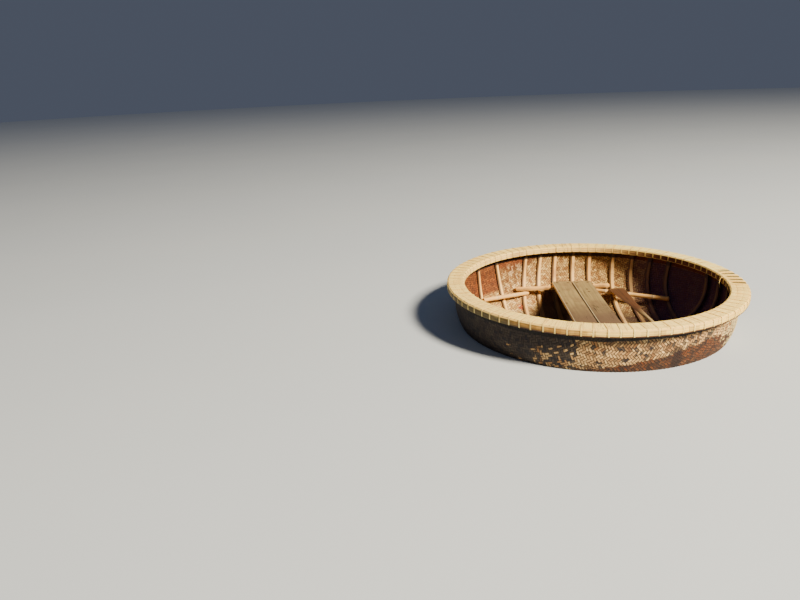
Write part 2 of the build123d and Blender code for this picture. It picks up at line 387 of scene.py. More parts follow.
def weave_finish(name, inside):
    make = Finish(name)
    u, v, _ = make.own("weave")
    column, row = (u + 0.001).floor(), (v + 0.001).floor()
    over = ((column + row) % 4) < 1.5
    under = 1 - over
    across = over * u.fraction() + under * v.fraction()
    run = over * (v + column) + under * (u + row + 2)
    along = (run / 4).fraction() * 2
    splint = over * column + under * (row + 500)
    own = make.dice(splint)
    float_own = make.dice(splint, (run / 4).floor())
    ragged = make.streaks(u, v, 0.0, 1.7)
    side = (across - 0.5).size() * 2 + (ragged - 0.5) * 0.7
    end = (along - 0.5).size() * 2 + (ragged - 0.5) * 0.4
    fibres = make.streaks(across * 9 + splint * 3.1, run * 0.7, splint, 1.6)
    stains, blots, fine = make.stain(2.6, 4.0), make.stain(11.0), make.stain(42.0)
    shade = own * 0.35 + float_own * 0.65
    if inside:
        gap = side.rise(0.62, 0.96).most(end.rise(0.76, 1.0))
        patches = make.stain(24.0)
        dark = paint(84, 44, 16)
        make.colour = make.blend(shade, paint(156, 104, 44), paint(250, 214, 134))
        make.coat((fibres - 0.42) * 1.5, dark)
        make.coat(patches.rise(0.46, 0.66) * 0.65, 136, 84, 32)
        make.coat((stains + fine * 0.3).rise(0.62, 0.78) * 0.7, dark)
        slant = make.z - make.x * 0.35 - (make.x + 0.6).least(0.0) * 1.1
        stain_edge = slant + (stains - 0.5) * 0.24 + (patches - 0.5) * 0.12
        rust = float_own * 0.6 + fibres * 0.8 + patches * 0.6 - 0.55
        end_bays = (-0.50 - make.x + (patches - 0.5) * 0.1).rise(0.0, 0.02)
        end_bays = end_bays * (make.z + 0.02 + patches * 0.03).rise(0.0, 0.05)
        rusty = stain_edge.rise(0.23, 0.35).most(end_bays) * 0.92
        make.coat(rusty, make.blend(rust, paint(60, 16, 0), paint(156, 76, 0)))
        make.coat(make.near([(-0.352, 0.676, 0)], 0.04, fibres) * 0.8, 150, 34, 4)
        bare = float_own.rise(0.55, 0.75) * (1 - (make.x + 0.36).size().rise(0.04, 0.18))
        make.coat(bare * (0.2 - make.z).rise(0.0, 0.05) * 0.3, 255, 222, 170)
        # Painted shadow under the inner hoop: a dark band along the top of the wall, crimson at the right.
        hoop_shadow_mask = (make.z - hoop_shadow_height + fine * 0.008).rise(0.0, 0.009) * 0.96
        make.coat(hoop_shadow_mask, make.blend(make.x.rise(0.40, 0.70), paint(24, 10, 8), paint(100, 20, 30)))
        # Painted shade: low on the floor the splints darken to near black.
        make.coat((-0.13 - make.z + stains * 0.06).rise(0.02, 0.09) * 0.85, 34, 22, 22)
        # Painted shadow of the boards on the floor.
        make.coat(make.painted_board_shadow() * 0.94, 20, 12, 28)
        # Painted shade: the right-hand inside, away from the key lamp, is darkened to a purple near-black, except
        # where the hoop's painted shadow already lies.
        make.coat((make.x + stains * 0.2).rise(0.50, 0.84) * 0.92 * (1 - hoop_shadow_mask), 66, 30, 82)
        gap_dirt_and_shade = paint(66, 32, 16)
    else:
        gap = side.rise(0.52, 0.90).most(end.rise(0.70, 1.0))
        dark = paint(80, 48, 24)
        make.colour = make.blend(shade, paint(156, 104, 54), paint(252, 212, 144))
        make.coat((make.dice(splint + 7.0, (run / 4).floor()) < 0.16) * 0.75, dark)
        make.coat((fibres - 0.45) * 1.6, dark)
        make.coat((stains + fine * 0.2).rise(0.60, 0.76) * 0.7, dark)
        # Painted shade: towards the hull's left side, and in a patch of painted shadow below the near rim, the
        # splints go blue-black. Elsewhere only a few flakes are tarred.
        leftward_lighting = (make.x * -1 + make.y * 0.3 + stains * 0.3).rise(0.10, 0.72) * 0.82
        leftward_lighting = leftward_lighting + (make.z - 0.12).rise(0.0, 0.06) * (-0.25 - make.x).rise(0.0, 0.2) * 0.4
        leftward_lighting = leftward_lighting + make.near([(-0.41, -0.88, 0)], 0.07, blots) * 0.25
        tar_and_left_shade = (blots * 0.7 + float_own * 0.8 + fine * 0.3 + leftward_lighting).rise(1.17, 1.25)
        make.coat(tar_and_left_shade * 0.92, 8, 12, 28)
        wet_line = (0.055 + make.x * 0.18).least(0.145)
        flank = make.y + (blots - 0.5) * 0.3 + (float_own - 0.5) * 0.16
        # Painted sunlight: the right flank, which faces the key lamp, is paler, and the wet band starts a little
        # lower there.
        sunlit_flank = (flank + 0.74).rise(0.0, 0.14) * (0.1 - flank).rise(0.0, 0.3) * make.x.rise(0.35, 0.5)
        make.coat(sunlit_flank * 0.4, 232, 222, 160)
        wet = (wet_line - sunlit_flank * 0.13 - make.z + (blots - 0.5) * 0.07 + fine * 0.03).rise(0.0, 0.012)
        soaked = fine * 1.8 + float_own * 0.7 - 0.85
        make.coat(wet * 0.94, make.blend(soaked, paint(34, 10, 4), paint(124, 62, 4)))
        drip = make.near([(0.262, -0.893, 0)], 0.045, blots) * (0.15 - make.z + fine * 0.03).rise(0.0, 0.03)
        make.coat(drip * 0.85, 34, 12, 8)
        make.coat((make.z * -1 + blots * 0.05).rise(0.0, 0.07) * 0.6, 52, 54, 34)
        # Painted shadow under the outer hoop: a dark band along the top of the wall, reaching lower at the left.
        rim_shade = make.z - shade_height + (0.12 - make.x).rise(0.0, 0.3) * 0.006 + (blots - 0.5) * 0.016
        make.coat(rim_shade.rise(0.0, 0.006) * 0.96, 14, 8, 6)
        gap_dirt_and_shade = paint(34, 22, 14)
    # Dirt and painted shade darken the gaps between splints.
    make.coat(gap * 0.85, gap_dirt_and_shade)
    return make.finished(0.66 + 0.25 * blots, fibres * 0.25 + float_own * 0.35 - gap * 0.6, 0.004)


# %% Outer and inner skin
middle_inset = hull_thickness / 2
for name, crown_inset, inside in (("woven_outside", 0.0, False), ("woven_inside", hull_thickness, True)):
    skin = flat_mat()
    bend_mat(skin, crown_inset, middle_inset)
    skin_finish = weave_finish(name.replace("woven", "weave"), inside)
    piece(skin, name, skin_finish, "woven_bamboo", "hull_basket", sharp_over=70)

# %% [markdown]
# ## Hoops
# Each hoop is a stack of three long splits, bent while green and set on the basket's edge. A split is a
# rounded section spun once round the boat. Sawn bamboo is never quite even, so the ring is pushed in and
# out by a millimetre or two afterwards.

# %% Ring helpers
ring_steps = 258


def spun(profile, axis, steps, closed=False):
    """Spin a line of points, closed or open, once round an axis through the middle."""
    bm = bmesh.new()
    points = [bm.verts.new(place) for place in profile]
    following = points[1:] + (points[:1] if closed else [])
    edges = [bm.edges.new(pair) for pair in zip(points, following)]
    bmesh.ops.spin(
        bm, geom=points + edges, cent=(0, 0, 0), axis=axis, dvec=(0, 0, 0),
        angle=2 * math.pi, steps=steps, use_merge=True, use_duplicate=False,
    )
    return bm


def add_ring(whole, section, scale, amount, seed):
    """Spin a closed section of (radius, height) points, unsettle the ring by hand and add it to a piece."""
    bm = spun([(radius, 0, height) for radius, height in section], (0, 0, 1), ring_steps, closed=True)
    for vert in bm.verts:
        turn = math.atan2(vert.co.y, vert.co.x)
        push = rough((math.cos(turn) * scale, math.sin(turn) * scale, seed), amount)
        radius = vert.co.xy.length + push.x
        vert.co = (radius * math.cos(turn), radius * math.sin(turn), vert.co.z + push.y * 0.6)
    ring = frozen(bm, "ring")
    whole.from_mesh(ring)
    bpy.data.meshes.remove(ring)


def soft_box(low_r, high_r, low_z, high_z, corner, bulge):
    """Rectangle with rounded corners, two points to a corner, and bulged faces."""
    mid_r, mid_z, cut = (low_r + high_r) / 2, (low_z + high_z) / 2, corner * 0.3
    return [
        (low_r + corner, low_z), (low_r + cut, low_z + cut), (low_r, low_z + corner),
        (low_r - bulge, mid_z),
        (low_r, high_z - corner), (low_r + cut, high_z - cut), (low_r + corner, high_z),
        (mid_r, high_z + bulge * 0.4),
        (high_r - corner, high_z), (high_r - cut, high_z - cut), (high_r, high_z - corner),
        (high_r + bulge, mid_z),
        (high_r, low_z + corner), (high_r - cut, low_z + cut), (high_r - corner, low_z),
    ]


# %% [markdown]
# ### Hoop and cap finish
# Between two lashings the outer hoop shows a tan skin over a painted shadow strip along its bottom, with painted
# shade (olive) at the left and painted sunlight (cream) at the right. The inner hoop is cream, with painted shade
# (reddish brown) at the right. The cap is bleached nearly white, with a thin line of painted shade beside a
# lashing.

# %% Round-the-rim finishes
lashing_count = 86


def rim_signals(make):
    """Turn round the rim, nearness to the middle of a bay from 0 to 0.5, and the bay's number."""
    turn = make.node("ShaderNodeMath", {"operation": "ARCTAN2"}, [make.y, make.x])
    count = turn * (lashing_count / (2 * math.pi)) + 0.5
    return turn, (count.fraction() - 0.5).size(), count.floor()


def split_finish(name, top_colour, face_colour, low_colour, dark, window_low, window_high, left, right):
    """Finish of a hoop, whose face has painted sun and shade colours at its left and right (colour, from x, to x),
    and low_colour on its bottom strip, which is a painted shadow on the outer hoop.
    """
    make = Finish(name)
    turn, from_lashing, bay = rim_signals(make)
    radius = make.reach()
    fibres = make.streaks(turn * 2.2, radius * 90, make.z * 120, 3.0, 4.0, 0.6)
    blotch = make.streaks(turn * 5.0, radius * 12, make.z * 22, 1.6)
    upper = (make.z + blotch * 0.006).rise(window_high, window_high + 0.004)
    lower = (make.z + blotch * 0.006).rise(window_low, window_low + 0.003)
    place = make.x + (blotch - 0.5) * 0.2
    leftward_lighting = (place * -1).rise(-left[1], -left[2])
    face = make.blend(leftward_lighting, make.blend(place.rise(right[1], right[2]), face_colour, right[0]), left[0])
    make.colour = make.blend(lower, make.blend(leftward_lighting, low_colour, left[0]), face)
    make.coat((make.dice(bay, 1.0) - 0.45) * 0.6 * lower, dark)
    make.coat(upper, top_colour)
    make.coat((fibres - 0.5) * 1.5, dark)
    make.coat(blotch.rise(0.55, 0.75) * 0.25, top_colour)
    make.coat((0.115 - from_lashing).rise(-0.02, 0.03) * (1 - upper * 0.5) * 0.55, 78, 50, 28)
    length = turn * 9.0
    joint = (make.dice(length.floor(), 3.0) < 0.25) * (0.03 - (length.fraction() - 0.5).size()).rise(0.0, 0.02)
    make.coat(joint * 0.55, dark)
    return make.finished(0.5 + 0.25 * fibres, fibres * 0.6 + joint * 0.6 + blotch * 0.2, 0.0016)


# Outer hoop: a painted shadow strip (84, 52, 26) along the face's bottom, painted shade (olive) at the left and
# painted sunlight (cream) at the right.
outer_finish = split_finish(
    "outer_hoop_bamboo", paint(248, 208, 120), paint(198, 146, 62), paint(84, 52, 26), paint(104, 60, 24),
    hoop_low_z + 0.010, hoop_top_z - 0.004,
    (paint(108, 92, 46), -0.62, -0.74), (paint(255, 216, 112), -0.40, -0.22),
)
# Inner hoop: painted shade (dark reddish brown) at the right.
inner_finish = split_finish(
    "inner_hoop_bamboo", paint(252, 220, 134), paint(246, 208, 124), paint(230, 186, 110), paint(130, 78, 36),
    hoop_low_z + 0.006, hoop_top_z - 0.004,
    (paint(252, 216, 130), -0.3, -0.6), (paint(92, 34, 22), 0.22, 0.72),
)

# %% Outer and inner hoop
split_count, split_gap, split_squeeze = 3, 0.0002, 0.0012
split_height = (hoop_top_z - hoop_low_z) / split_count
for name, low_r, high_r, hoop_finish, node in (
    ("outer_hoop_splits", hull_radius + hoop_gap, rim_radius, outer_finish, "outer_hoop"),
    ("inner_hoop_splits", rim_inner_radius, hull_radius - hull_thickness - hoop_gap, inner_finish, "inner_hoop"),
):
    hoop = bmesh.new()
    for number in range(split_count):
        low_z = hoop_low_z + number * split_height
        squeeze = split_squeeze if number != 1 else 0.0
        low_face, high_face = (low_r + squeeze, high_r) if node == "inner_hoop" else (low_r, high_r - squeeze)
        section = soft_box(
            low_face, high_face, low_z + split_gap, low_z + split_height - split_gap, corner=0.0014, bulge=0.0004
        )
        add_ring(hoop, section, 9.0, 0.0016, number * 3.1)
    piece(hoop, name, hoop_finish, "hoop_bamboo", node)

# %% [markdown]
# ### Cap
# Three flat splits cover the tops of the hoops and the basket's edge, side by side. Their crowned tops
# catch the sun, and dirt fills the narrow gaps between them. Where the lashings have worked loose at the
# right, painted shade makes dark stripes of cap between the turns.

# %% Cap finish
def cap_finish():
    make = Finish("cap_bamboo")
    turn, from_lashing, _ = rim_signals(make)
    radius = make.reach()
    fibres = make.streaks(turn * 3.0, radius * 110, 0.0, 3.0, 4.0, 0.6)
    blotch = make.stain(9.0, 4.0)
    strip_own = make.dice((radius * 28.5).floor(), (turn * 3.0).floor())
    cross = make.streaks(turn * 60, radius * 8, 0.0, 2.0)
    line = make.streaks(turn * 34, radius * 2.2, 7.0, 1.5, 2.0)
    make.colour = make.blend(strip_own * 0.5, paint(255, 226, 132), paint(250, 206, 108))
    make.coat((fibres - 0.5) * 0.9, 190, 146, 92)
    make.coat((1 - (line - 0.5).size().rise(0.004, 0.03)) * 0.55, 140, 100, 58)
    make.coat(cross.rise(0.56, 0.7) * 0.3, 186, 144, 92)
    make.coat(blotch.rise(0.58, 0.74) * 0.4, 206, 156, 98)
    # Painted shade: a thin dark line beside each lashing, stronger at the left and at the far right.
    lashing_shade = (0.112 - from_lashing + blotch * 0.02).rise(0.0, 0.02) * blotch.rise(0.3, 0.6)
    far_right = (make.y + 0.2).rise(0.0, 0.3) * make.x.rise(0.1, 0.5)
    make.coat(far_right * 0.6, 246, 232, 150)
    make.coat(lashing_shade * ((make.x * -1 + 0.2).rise(0.0, 0.5) * 0.4 + far_right * 0.8), 140, 100, 58)
    # Painted shade: dark stripes of cap between the loose turns at the right.
    ruffled = (turn + 0.30).rise(0.0, 0.03) * (0.07 - turn).rise(0.0, 0.03)
    loose_turn_shade = (from_lashing + blotch * 0.1).rise(0.29, 0.35)
    loose_turn_shade = loose_turn_shade * (radius + blotch * 0.04).rise(rim_inner_radius + 0.03, rim_inner_radius + 0.06)
    make.coat(ruffled * loose_turn_shade * 0.9, 48, 36, 12)
    return make.finished(0.6 + 0.2 * blotch, fibres * 0.5 + cross * 0.5 - lashing_shade * 0.5, 0.0018)


# %% Cap strips
cap_inset, cap_gap, cap_count = 0.0075, 0.0005, 3
cap_pitch = (rim_radius - rim_inner_radius - 2 * cap_inset + cap_gap) / cap_count
crown, edge = rim_top, rim_top - 0.0007
cap = bmesh.new()
for number in range(cap_count):
    low_r = rim_inner_radius + cap_inset + number * cap_pitch
    high_r = low_r + cap_pitch - cap_gap
    section = [
        (low_r, hoop_top_z), (low_r, edge - 0.0008), (low_r + 0.001, edge), (low_r + 0.008, crown - 0.0005),
        ((low_r + high_r) / 2, crown), (high_r - 0.008, crown - 0.0005), (high_r - 0.001, edge),
        (high_r, edge - 0.0008), (high_r, hoop_top_z), ((low_r + high_r) / 2, hoop_top_z),
    ]
    add_ring(cap, section, 11.0, 0.0012, 20 + number)
piece(cap, "cap_splits", cap_finish(), "split_bamboo", "rim_cap_strips")

# %% [markdown]
# ## Lashings
# A lashing is two flat turns of split cane laid side by side. It comes out through the weave just under the
# inner hoop, goes over the cap and back in under the outer hoop, where its turns show as pale ticks on the
# hull. One is swept along that path and copied round the rim, and each copy is tugged a little askew.

# %% Cane strand
strand_width, strand_thick, strands = 0.0050, 0.0014, 2
tick = 0.013


def lashing_path():
    """Points (radius, height) of the middle of a strand, from the inner face of the hull to the outer."""
    out = strand_thick * 0.45
    low_r, high_r, low_z, high_z = rim_inner_radius - out, rim_radius + out, hoop_low_z - out, rim_top + out
    inner_face, outer_face = hull_radius - hull_thickness, hull_radius
    return [
        (inner_face + 0.004, low_z - tick - 0.004), (inner_face - 0.004, low_z - tick),
        (inner_face - 0.02, low_z - 0.003), (low_r + 0.008, low_z), (low_r + 0.002, low_z + 0.002),
        (low_r, low_z + 0.008), (low_r, (low_z + high_z) / 2), (low_r, high_z - 0.009),
        (low_r + 0.003, high_z - 0.003), (low_r + 0.010, high_z), (low_r + 0.028, high_z + 0.0008),
        ((low_r + high_r) / 2, high_z + 0.001), (high_r - 0.028, high_z + 0.0008), (high_r - 0.010, high_z),
        (high_r - 0.003, high_z - 0.003), (high_r, high_z - 0.009), (high_r, (low_z + high_z) / 2),
        (high_r, low_z + 0.008), (high_r - 0.002, low_z + 0.002), (high_r - 0.008, low_z),
        (outer_face + 0.018, low_z - 0.004), (outer_face + 0.004, low_z - tick),
        (outer_face - 0.004, low_z - tick - 0.004),
    ]


def compass(degrees):
    """Points on a circle of radius 1, one at each of the given degrees."""
    return [(math.cos(math.radians(turn)), math.sin(math.radians(turn))) for turn in degrees]


def loft(bm, rings):
    """Draw a closed skin over rings of points, by extruding the first one, and give its points by ring."""
    order = [bm.verts.new(place) for place in rings[0]]
    edges = [bm.edges.new(pair) for pair in zip(order, order[1:] + order[:1])]
    made = [order]
    for ring in rings[1:]:
        raised = bmesh.ops.extrude_edge_only(bm, edges=edges)["geom"]
        fresh = {vert for vert in raised if isinstance(vert, bmesh.types.BMVert)}
        order = [next(e.other_vert(vert) for e in vert.link_edges if e.other_vert(vert) in fresh) for vert in order]
        edges = [bm.edges.get(pair) for pair in zip(order, order[1:] + order[:1])]
        for vert, place in zip(order, ring):
            vert.co = place
        made.append(order)
    for end in (made[0], made[-1]):
        bmesh.ops.contextual_create(bm, geom=end)
    return made


def sweep(bm, places, wide, thick, up=Vector((0, 1, 0))):
    """Sweep a flat oval along a list of places, closed at both ends."""
    points = [Vector(place) for place in places]
    rings = []
    for number, point in enumerate(points):
        along = (points[min(number + 1, len(points) - 1)] - points[max(number - 1, 0)]).normalized()
        beside = up.cross(along).normalized()
        across = along.cross(beside)
        rings.append([point + across * a * wide / 2 + beside * b * thick / 2 for a, b in strand_corners])
    loft(bm, rings)


strand_corners = compass(range(-150, 180, 60))


one = bmesh.new()
for number in range(strands):
    beside = (number - (strands - 1) / 2) * (strand_width * 0.97)
    sweep(one, [(radius, beside, height) for radius, height in lashing_path()], strand_width, strand_thick)
keep_grain(one)
one_mesh = frozen(one, "one_lashing")
print("one lashing", len(one_mesh.polygons), "faces")

# %% Lashings round the rim
lashings = bmesh.new()
for number in range(lashing_count):
    start = len(lashings.verts)
    lashings.from_mesh(one_mesh)
    lashings.verts.ensure_lookup_table()
    grain = grain_of(lashings)
    turn = Matrix.Rotation(number * 2 * math.pi / lashing_count, 3, "Z")
    lean, shift, swell = random.gauss(0, 0.010), random.gauss(0, 0.0008), random.uniform(-0.0003, 0.0009)
    for vert in lashings.verts[start:]:
        x, y, z = vert.co
        share = (x - rim_inner_radius) / (rim_radius - rim_inner_radius) - 0.5
        y = y + shift + lean * share * 0.5 + rough((x * 30, number, z * 30), 0.0006).y
        vert[grain] = (x + number, y, z)
        z += swell * (0 if z < hoop_top_z else 1)
        vert.co = turn @ Vector((x, y, z))
bpy.data.meshes.remove(one_mesh)

# %% [markdown]
# At the right the turns have worked loose: a rounder turn lies on each side of five tight ones and rises a
# little off the cap. One end has come free and hangs down inside the rim.

# %% Loose turns and a free end
loose_width, loose_thick, loose_step = 0.0054, 0.0026, 0.66
for number in range(-4, 1):
    for beside in (-loose_step, loose_step):
        degrees = number * 360 / lashing_count + beside + random.uniform(-0.15, 0.15)
        start = len(lashings.verts)
        sweep(lashings, [(radius, 0, height) for radius, height in lashing_path()], loose_width, loose_thick)
        lashings.verts.ensure_lookup_table()
        turn = Matrix.Rotation(math.radians(degrees), 3, "Z")
        lean, rise = random.uniform(-0.008, 0.008), random.uniform(0.0006, 0.0018)
        for vert in lashings.verts[start:]:
            x, y, z = vert.co
            share = (x - rim_inner_radius) / (rim_radius - rim_inner_radius)
            hump = math.sin(math.pi * min(max(share, 0), 1)) if z > hoop_top_z else 0.0
            vert[grain] = (x + degrees, y, z)
            vert.co = turn @ Vector((x, y + lean * (share - 0.5), z + rise * hump))

free_turn = math.radians(-7.4)
out = Vector((math.cos(free_turn), math.sin(free_turn), 0))
side = Vector((-out.y, out.x, 0))
root = out * (rim_inner_radius - 0.003) + Vector((0, 0, rim_top - 0.006))
tail = [root + out * reach + side * sway + Vector((0, 0, lift)) for reach, sway, lift in (
    (0.014, 0.014, 0.005), (0.002, 0.010, 0.006), (-0.010, 0.004, 0.002), (-0.019, -0.004, -0.012),
    (-0.024, -0.014, -0.030), (-0.022, -0.024, -0.050), (-0.018, -0.030, -0.062),
)]
sweep(lashings, tail, 0.0085, loose_thick, up=side)

# %% Cane finish
def cane_finish():
    make = Finish("lashing_cane")
    along, across, up = make.own("grain")
    own = make.dice(along.floor(), (across * 190).floor())
    fibres = make.streaks(along * 30, across * 900, up * 30)
    dirt = make.stain(34.0)
    make.colour = make.blend(own * 0.75, paint(255, 228, 138), paint(248, 204, 108))
    make.coat((fibres - 0.5) * 0.9, 190, 150, 98)
    make.coat(dirt.rise(0.56, 0.7) * 0.4, 150, 110, 68)
    # Painted shadow: the turns below the hoops, in the shadow under the rim, are darkened, most at the right.
    painted_shade = (hoop_low_z + 0.008 - make.z).rise(0.0, 0.006)
    make.coat(painted_shade * (0.2 + (make.x + 0.4).rise(0.0, 0.4) * 0.65), 84, 56, 32)
    return make.finished(0.5 + 0.2 * dirt, fibres, 0.0006)


piece(lashings, "rim_lashing_strands", cane_finish(), "lashing_cord", "rim_lashings", sharp_over=60)

# %% [markdown]
# ## Ribs
# The ribs are half culms split flat, bent over the floor and up the walls, with their ends pushed under the
# inner hoop. Eleven run along the thwart and four cross over them. A rib is a batten with a domed back and
# raised joints. Its plane leans a little from upright, as hand-bent ribs do, so its middle line is found on
# the bowl first and the section is swept along it.

# %% Rib shape
rib_width, rib_thick = 0.035, 0.012
rib_top = hoop_low_z - 0.0038
rib_reach = hull_radius - hull_thickness
along_ribs = (
    (-0.770, -5.3), (-0.594, -9.5), (-0.305, 5.0), (-0.1665, 5.0), (-0.032, 3.0), (0.1256, 1.7),
    (0.263, 1.0), (0.451, 2.0), (0.591, 3.0), (0.711, 5.0), (0.818, 5.0),
)
cross_ribs = ((-0.311, -2.0), (-0.145, 1.5), (0.0215, 1.0), (0.1826, 2.0))
rib_section = (
    (-0.5, -0.42), (-0.5, 0.3), (-0.46, 0.42), (-0.28, 0.49), (0.0, 0.5), (0.28, 0.49), (0.46, 0.42), (0.5, 0.3),
    (0.5, -0.42), (0.46, -0.5), (-0.46, -0.5),
)


def rib_line(place, lean, inset):
    """Middle line of a rib in its leaning plane, one end to the other, with the direction into the boat."""
    slope = math.tan(math.radians(lean))

    def station(run):
        radius, height = bowl_section(run, inset)
        return radius, place + slope * (height - rib_top), height

    start, ahead = 0.0, bilge_run
    for _ in range(40):
        middle = (start + ahead) / 2
        radius, x, height = station(middle)
        start, ahead = (middle, ahead) if radius < abs(x) else (start, middle)
    finish_run = bilge_run + rib_top - bilge_z
    stations = []
    for number in range(49):
        run = start + (finish_run - start) * (number / 48) ** 1.35
        radius, x, height = station(run)
        deeper = bowl_section(run, inset + 0.01)
        y = math.sqrt(max(radius**2 - x**2, 0)) if number else 0.0
        out = Vector((x, y, 0)) / max(radius, 0.001)
        inward = (out * (deeper[0] - radius) + Vector((0, 0, deeper[1] - height))).normalized()
        stations.append((Vector((x, y, height)), inward))
    mirror = Matrix.Diagonal((1, -1, 1))
    return [(mirror @ point, mirror @ way) for point, way in stations[:0:-1]] + stations


def rib_piece(bm, share, lean, inset, number, quarter):
    """One bent rib: a swept batten with joints."""
    stations = rib_line(share * rib_reach, lean, inset + rib_thick / 2)
    length, rings, marks = 0.0, [], []
    joint_pitch = 0.31 + 0.04 * math.sin(number * 2.3)
    turn = Matrix.Rotation(math.pi / 2, 3, "Z") if quarter else Matrix.Identity(3)
    for index, (point, inward) in enumerate(stations):
        ahead, behind = stations[min(index + 1, len(stations) - 1)][0], stations[max(index - 1, 0)][0]
        along = (ahead - behind).normalized()
        across = along.cross(inward).normalized()
        up = across.cross(along).normalized()
        if index:
            length += (point - stations[index - 1][0]).length
        near_joint = abs((length / joint_pitch + number * 0.37) % 1 - 0.5) * joint_pitch
        joint = max(0.0, 1 - near_joint / 0.012)
        wide = rib_width * (1 + 0.03 * math.sin(length * 9 + number * 5) + 0.03 * joint)
        thick = rib_thick * (1 + 0.12 * joint)
        rings.append([turn @ (point + across * a * wide + up * b * thick) for a, b in rib_section])
        marks.append([(length + 3.7 * number, a * rib_width, near_joint) for a, _ in rib_section])
    grain = grain_of(bm)
    for ring, ring_marks in zip(loft(bm, rings), marks):
        for vert, mark in zip(ring, ring_marks):
            vert[grain] = mark


# %% Rib finish
def split_bamboo():
    make = Finish("rib_bamboo")
    along, across, joint = make.own("grain")
    fibres = make.streaks(along * 5, across * 320, 0.0, 1.0, 4.0, 0.6)
    stain = make.stain(5.5, 4.0)
    own = make.dice((along / 3.7 + 0.2).floor(), 5.0)
    make.colour = make.blend(own * 0.7, paint(252, 206, 126), paint(236, 176, 94))
    make.coat((fibres - 0.5) * 1.5, 146, 84, 40)
    make.coat(stain.rise(0.52, 0.7) * 0.5, 150, 92, 54)
    reddened = (make.x * -1).rise(0.45, 0.78) * (make.z + stain * 0.1).rise(0.05, 0.22)
    make.coat(reddened * 0.35, 196, 112, 58)
    make.coat(across.size().rise(rib_width * 0.40, rib_width * 0.5) * 0.5, 112, 70, 42)
    # Painted shade: the left half of each rib is darkened as its flank in shade.
    painted_shade = (across * -1 + (stain - 0.5) * 0.006).rise(rib_width * 0.06, rib_width * 0.17)
    make.coat(painted_shade * 0.88, 52, 22, 10)
    ring = 1 - joint.rise(0.0, 0.006)
    make.coat(ring * 0.6, 104, 66, 38)
    make.coat((-0.1 - make.z + stain * 0.1).rise(0.0, 0.14) * 0.4, 120, 92, 64)
    # Painted shadow of the boards on the ribs.
    make.coat(make.painted_board_shadow() * 0.94, 24, 14, 28)
    # Painted shadow under the inner hoop on the ribs' tops.
    make.coat((make.z - hoop_shadow_height + stain * 0.008).rise(0.0, 0.009) * 0.94, 24, 10, 8)
    # Painted shade: the ribs at the right are darkened like the wall there.
    make.coat((make.x + stain * 0.2).rise(0.44, 0.80) * 0.88, 50, 24, 52)
    return make.finished(0.48 + 0.3 * stain, fibres * 0.7 + ring * 0.6, 0.0012)


rib_finish = split_bamboo()

# %% Lengthwise and crossing ribs
for name, table, inset, node, quarter in (
    ("bent_ribs_along", along_ribs, hull_thickness, "ribs_lengthwise", False),
    ("bent_ribs_across", cross_ribs, hull_thickness + rib_thick, "ribs_crosswise", True),
):
    ribs = bmesh.new()
    for number, (share, lean) in enumerate(table):
        rib_piece(ribs, share, lean, inset, number + (20 if quarter else 0), quarter)
    piece(ribs, name, rib_finish, "rib_bamboo", node)

# %% [markdown]
# ## Thwart
# The thwart is two old sawn boards on a batten at each end. A board starts as a cube, is scaled and divided,
# has its long edges bevelled, and then gets the small hollows, rounded ends and cup of old wood. Nails hold
# it to the battens.

# %% Boards
board_width, board_gap, board_thick = 0.150, 0.010, 0.025
board_offset, board_turn = 0.034, math.radians(-3.3)
board_low, board_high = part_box("thwart_board_left")
board_length = (board_high[1] - board_low[1] - board_width * abs(math.sin(board_turn))) / math.cos(board_turn)
board_place = Matrix.Translation((board_offset, 0, board_low[2])) @ Matrix.Rotation(board_turn, 4, "Z")


def plank(length, width, thick, bevel, cuts, worn, number, ends_uneven=0.0):
    """Worn sawn plank along X, resting on z = 0."""
    bm = bmesh.new()
    bmesh.ops.create_cube(bm, size=1.0)
    bmesh.ops.scale(bm, vec=(length, width, thick), verts=bm.verts)
    bmesh.ops.translate(bm, vec=(0, 0, thick / 2), verts=bm.verts)
    bmesh.ops.bevel(
        bm, geom=bm.edges[:], offset=bevel, segments=2, profile=0.5, affect="EDGES", material=-1, clamp_overlap=True
    )
    long_edges = [edge for edge in bm.edges if abs(edge.verts[0].co.x - edge.verts[1].co.x) > length * 0.5]
    bmesh.ops.subdivide_edges(bm, edges=long_edges, cuts=cuts, use_grid_fill=True)
    wide_edges = [edge for edge in bm.edges if abs(edge.verts[0].co.y - edge.verts[1].co.y) > width * 0.5]
    bmesh.ops.subdivide_edges(bm, edges=wide_edges, cuts=7, use_grid_fill=True)
    keep_grain(bm, number)
    for vert in bm.verts:
        x, y, z = vert.co
        push = rough((x * 5 + number * 9, y * 14, z * 30), worn)
        slow = rough((x * 1.4 + number * 5, 0, 0), worn * 1.2)
        edge = abs(y) / (width / 2)
        cup = -0.0010 * edge**2 if z > thick / 2 else 0.0
        end = abs(x) / (length / 2) > 0.985
        vert.co = (
            x + (rough((y * 40, number, 0), ends_uneven).x if end else 0),
            y + (push.y + slow.y) * (edge > 0.9),
            z + (min(push.z, 0) * 0.9 + cup - 0.0003 if z > thick / 2 else 0),
        )
    return bm


batten_low, batten_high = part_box("thwart_beam_far")
batten_y = (batten_low[1] + batten_high[1]) / 2
board_middle = (board_width + board_gap) / 2
nail_spots = [(-0.144, 0.551), (-0.140, 0.261), (0.081, 0.584), (0.083, 0.521)]
nail_spots += [
    (side * board_middle + part * board_width, end * batten_y + random.uniform(-0.006, 0.006))
    for side in (-1, 1) for end in (-1, 1) for part in (-0.27, 0.3)
]
nail_spots = [board_place @ Vector((x, y, board_thick)) for x, y in nail_spots]


